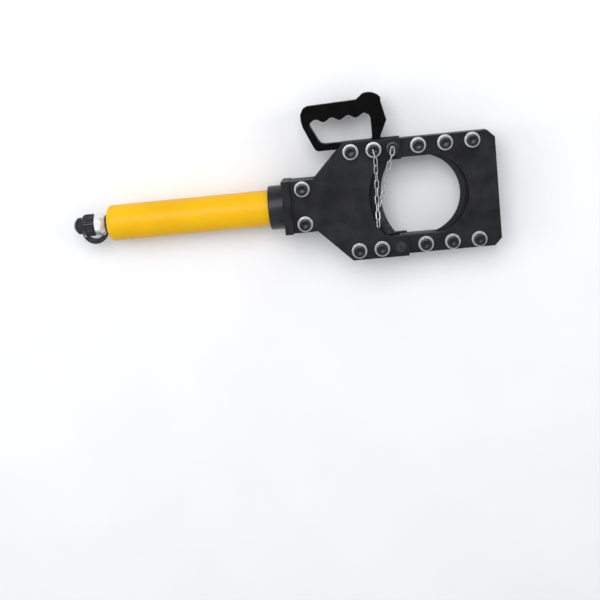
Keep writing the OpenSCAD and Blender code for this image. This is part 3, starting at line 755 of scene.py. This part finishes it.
def make_fasteners(looks, group, places, body, length):
    """A set of through screws of one length, with a washer at each end and a nut behind."""
    back, face = (corner.z for corner in span(group + "_washers"))
    nut_low, nut_high = span(group + "_nuts")
    washer_t = 2.5
    screws, washers, nuts = [], [], []
    for i, (x, y) in enumerate(places):
        turn = math.radians(37 * i)
        screws.append(cap_screw(x, y, face, length, turn))
        washers += [washer(x, y, face - washer_t, face), washer(x, y, back, back + washer_t)]
        nuts.append(nut(x, y, nut_low.z, nut_high.z, turn / 2))
    black, zinc = looks["screw_black"], looks["bright_zinc"]
    add_piece(group + "_cap_screws", screws, black, "screw_black", body, group + "_screws")
    add_piece(group + "_washer_rings", washers, zinc, "bright_zinc", body, group + "_washers")
    add_piece(group + "_hex_nuts", nuts, black, "screw_black", body, group + "_nuts")


PIN_R = 8


def make_hinge_pin(looks):
    """The hinge pin, whose flange lies flush in the front plate and whose groove takes the clip."""
    low, high = span("hinge_pin")
    flange_r, flange_z = PIN_R + 1, high.z - 2.8
    groove_r, groove_z, groove_end = PIN_R - 0.6, low.z + 2.1, low.z + 3.5
    profile = [
        (low.z, 0.6), (low.z, PIN_R - 0.8), (low.z + 0.8, PIN_R), (groove_z, PIN_R), (groove_z, groove_r),
        (groove_end, groove_r), (groove_end, PIN_R), (flange_z, PIN_R), (flange_z, flange_r),
        (high.z - 0.5, flange_r), (high.z, flange_r - 0.6), (high.z, 2.2), (high.z - 1.2, 0.6)
    ]
    hinge = turned(profile, sides=96, axis="z", centre=(PIN_X, -ROW_Y, 0))
    add_piece("hinge_pin_turned", [hinge], looks["pin_steel"], "pin_steel", "head", "hinge_pin")


def make_lock_pin(looks):
    """The lock pin, with its tapered tip and hollow grooved head, and the post that holds the chain."""
    low, high = span("lock_pin")
    head_r, recess_r, post_r, rim = 10, 5.5, 1.5, high.z - 9
    shank = [(low.z, 0.6), (low.z, PIN_R - 2.6), (low.z + 4, PIN_R), (rim, PIN_R)]
    head = [
        (rim, head_r - 0.4), (rim + 0.4, head_r), (rim + 3, head_r), (rim + 3.6, head_r - 0.6),
        (rim + 4.2, head_r), (high.z - 1, head_r), (high.z - 0.3, head_r - 0.5), (high.z, head_r - 1)
    ]
    hollow = [
        (high.z, recess_r + 0.6), (high.z - 0.6, recess_r), (rim + 2, recess_r), (rim + 2, post_r),
        (rim - 6, post_r), (rim - 6, 0.2)
    ]
    lock = turned(shank + head + hollow, sides=96, axis="z", centre=(PIN_X, ROW_Y, 0))
    add_piece("lock_pin_turned", [lock], looks["pin_steel"], "pin_steel", "lock_pin", "lock_pin")

    low, high = span("lock_pin_post")
    stem_r, cap_r, cap_z, centre_r = 1.45, 3, high.z - 0.6, 0.3
    profile = [
        (low.z, centre_r), (low.z, stem_r), (cap_z, stem_r), (cap_z, cap_r), (high.z, cap_r - 0.7),
        (high.z, centre_r)
    ]
    post = turned(rounded(profile, 0.2), sides=48, axis="z", centre=(PIN_X, ROW_Y, 0))
    add_piece("lock_pin_stud", [post], looks["stud_steel"], "bright_zinc", "lock_pin", "lock_pin_post")


# ---- Chain -------------------------------------------------------------------------------------

WIRE, LINK_LENGTH, LINK_WIDTH, LINK_SLACK = 1.8, 15.6, 7.6, 0.2
PITCH = LINK_LENGTH - 2 * WIRE - LINK_SLACK

# Each run is its first joint, then the heading, rise and roll of each link in degrees, as in part.scad.
FALLING_RUN = ((36.7, 64, 33.4), [
    (-91, -7, 35), (-94, -7, -40), (-90, -10, 65), (-94, -6, -25), (-94, -3, 65),
    (-92, 1, -25), (-92, 6, 65), (-92, 11, -20), (-92, 0, 50),
])
PIN_RUN = ((36.9, -10.7, 27.4), [
    (68, 0.5, 95), (69, 4.5, -5), (74, 6.5, 80), (75, 8, -5), (76.5, 10, 80),
    (73, 12, -5), (67, 19, 80), (80, 0, 0),
])


def link_path(steps=12):
    """The centre line of a link that lies along X, starting at the weld in the middle of one side."""
    r, half_run = (LINK_WIDTH - WIRE) / 2, (LINK_LENGTH - LINK_WIDTH) / 2
    path = [(x, -r, 0) for x in (0, 0.5, 1.1, half_run * 0.6)]
    for side in (1, -1):
        for i in range(steps + 1):
            a = math.radians(180 * i / steps - 90 * side)
            path.append((side * half_run + r * math.cos(a), r * math.sin(a), 0))
    return path + [(x, -r, 0) for x in (-half_run * 0.6, -1.1, -0.5)]


def weld(share):
    """The wire's radius, which swells a little at its weld, where the path starts and ends."""
    swell, reach = 0.12, 0.035
    off = min(share, 1 - share)
    return WIRE / 2 * (1.0 + swell * math.exp(-(off / reach) ** 2))


def chain_run(run):
    """The links of a run, each turned by its roll, then its rise, then its heading."""
    joint, turns = Vector(run[0]), run[1]
    points, faces = sweep(link_path(), weld, sides=12, loop=True)
    links = []
    for heading, rise, roll in turns:
        spin = Matrix.Rotation(math.radians(heading), 3, "Z")
        spin = spin @ Matrix.Rotation(math.radians(-rise), 3, "Y")
        spin = spin @ Matrix.Rotation(math.radians(roll), 3, "X")
        centre = joint + spin @ Vector((PITCH / 2, 0, 0))
        links.append(([centre + spin @ Vector(p) for p in points], faces))
        joint = joint + spin @ Vector((PITCH, 0, 0))
    return links


def make_chain(looks):
    """The run from the staple to its loose end, the run that goes to the lock pin, and the staple."""
    zinc = looks["bright_zinc"]
    add_piece("chain_from_staple", chain_run(FALLING_RUN), zinc, "bright_zinc", "head", "chain")
    to_pin = add_piece("chain_to_pin", chain_run(PIN_RUN), zinc, "bright_zinc", None, "chain")
    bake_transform(to_pin)

    wire_r = WIRE / 2
    top_z = span("chain_staple")[1].z - wire_r
    foot, bend, crest = (34, 78, top_z - 6), (34, 78, top_z), (36.2, 65.1, top_z)
    turn, tip = (36.3, 62.3, 31.3), (36.5, 65, 31)
    staple = sweep(eased([foot, bend, crest, turn, tip], cut=1.5), wire_r)
    add_piece("chain_staple_wire", [staple], zinc, "bright_zinc", "head", "chain_staple")


# ---- The whole tool ----------------------------------------------------------------------------

# CAD nodes with bevelled corners: their slot, material and bevel in millimetres
DRESSED = {
    "head_block": ("block_black", "block_black", 0.9),
    "rear_plate_front": ("black_steel", "black_steel", 0.7),
    "rear_plate_back": ("black_steel", "black_steel", 0.7),
    "upper_guide_bar": ("machined_steel", "guide_black", 0.5),
    "lower_guide_bar": ("machined_steel", "guide_black", 0.5),
    "yoke_plate_front": ("black_steel", "black_steel", 0.7),
    "yoke_plate_back": ("black_steel", "black_steel", 0.7),
    "yoke_spacer": ("black_steel", "black_steel", 0.3),
    "fixed_blade": ("blade_steel", "fixed_blade", 0.25),
    "moving_blade": ("blade_steel", "moving_blade", 0.25),
    "blade_carrier": ("machined_steel", "machined_steel", 0.5),
    "hinge_pin_clip": ("spring_steel", "spring_steel", 0.15),
    "carry_handle": ("handle_black", "handle_black", 2.2),
}


def dress_nodes(looks):
    for node, (slot, look, bevel) in DRESSED.items():
        dress(node, looks[look], bevel, segments=4 if bevel > 1 else 2)


def finish_hidden_nodes(looks):
    """CAD nodes that keep their own mesh take the material of their slot in the record."""
    slots = {part["node"]: part["material_slot"] for part in frame["record"]["subparts"]}
    for name, node in frame["nodes"].items():
        if node.hide_render:
            continue
        look = looks[slots[name]]
        if not node.material_slots:
            node.data.materials.append(look)
        for holder in node.material_slots:
            holder.material = look


def add_floor():
    """A pale floor, which reaches past the camera's view on every side."""
    size = 4.0
    mesh = bpy.data.meshes.new("studio_floor")
    corners = [(-size, -size, 0), (size, -size, 0), (size, size, 0), (-size, size, 0)]
    mesh.from_pydata(corners, [], [(0, 1, 2, 3)])
    floor = bpy.data.objects.new("studio_floor", mesh)
    bpy.context.scene.collection.objects.link(floor)
    mesh.materials.append(floor_finish())


add_camera()
add_lights()
add_floor()
looks = make_materials()
make_barrel(looks)
make_collar(looks)
make_return_spring(looks)
make_coupler(looks)
make_dust_cap(looks)
make_strap(looks)
make_fasteners(looks, "head", HEAD_PLACES, "head", length=70)
make_fasteners(looks, "yoke", YOKE_PLACES, "yoke", length=50)
make_hinge_pin(looks)
make_lock_pin(looks)
make_chain(looks)
dress_nodes(looks)
finish_hidden_nodes(looks)
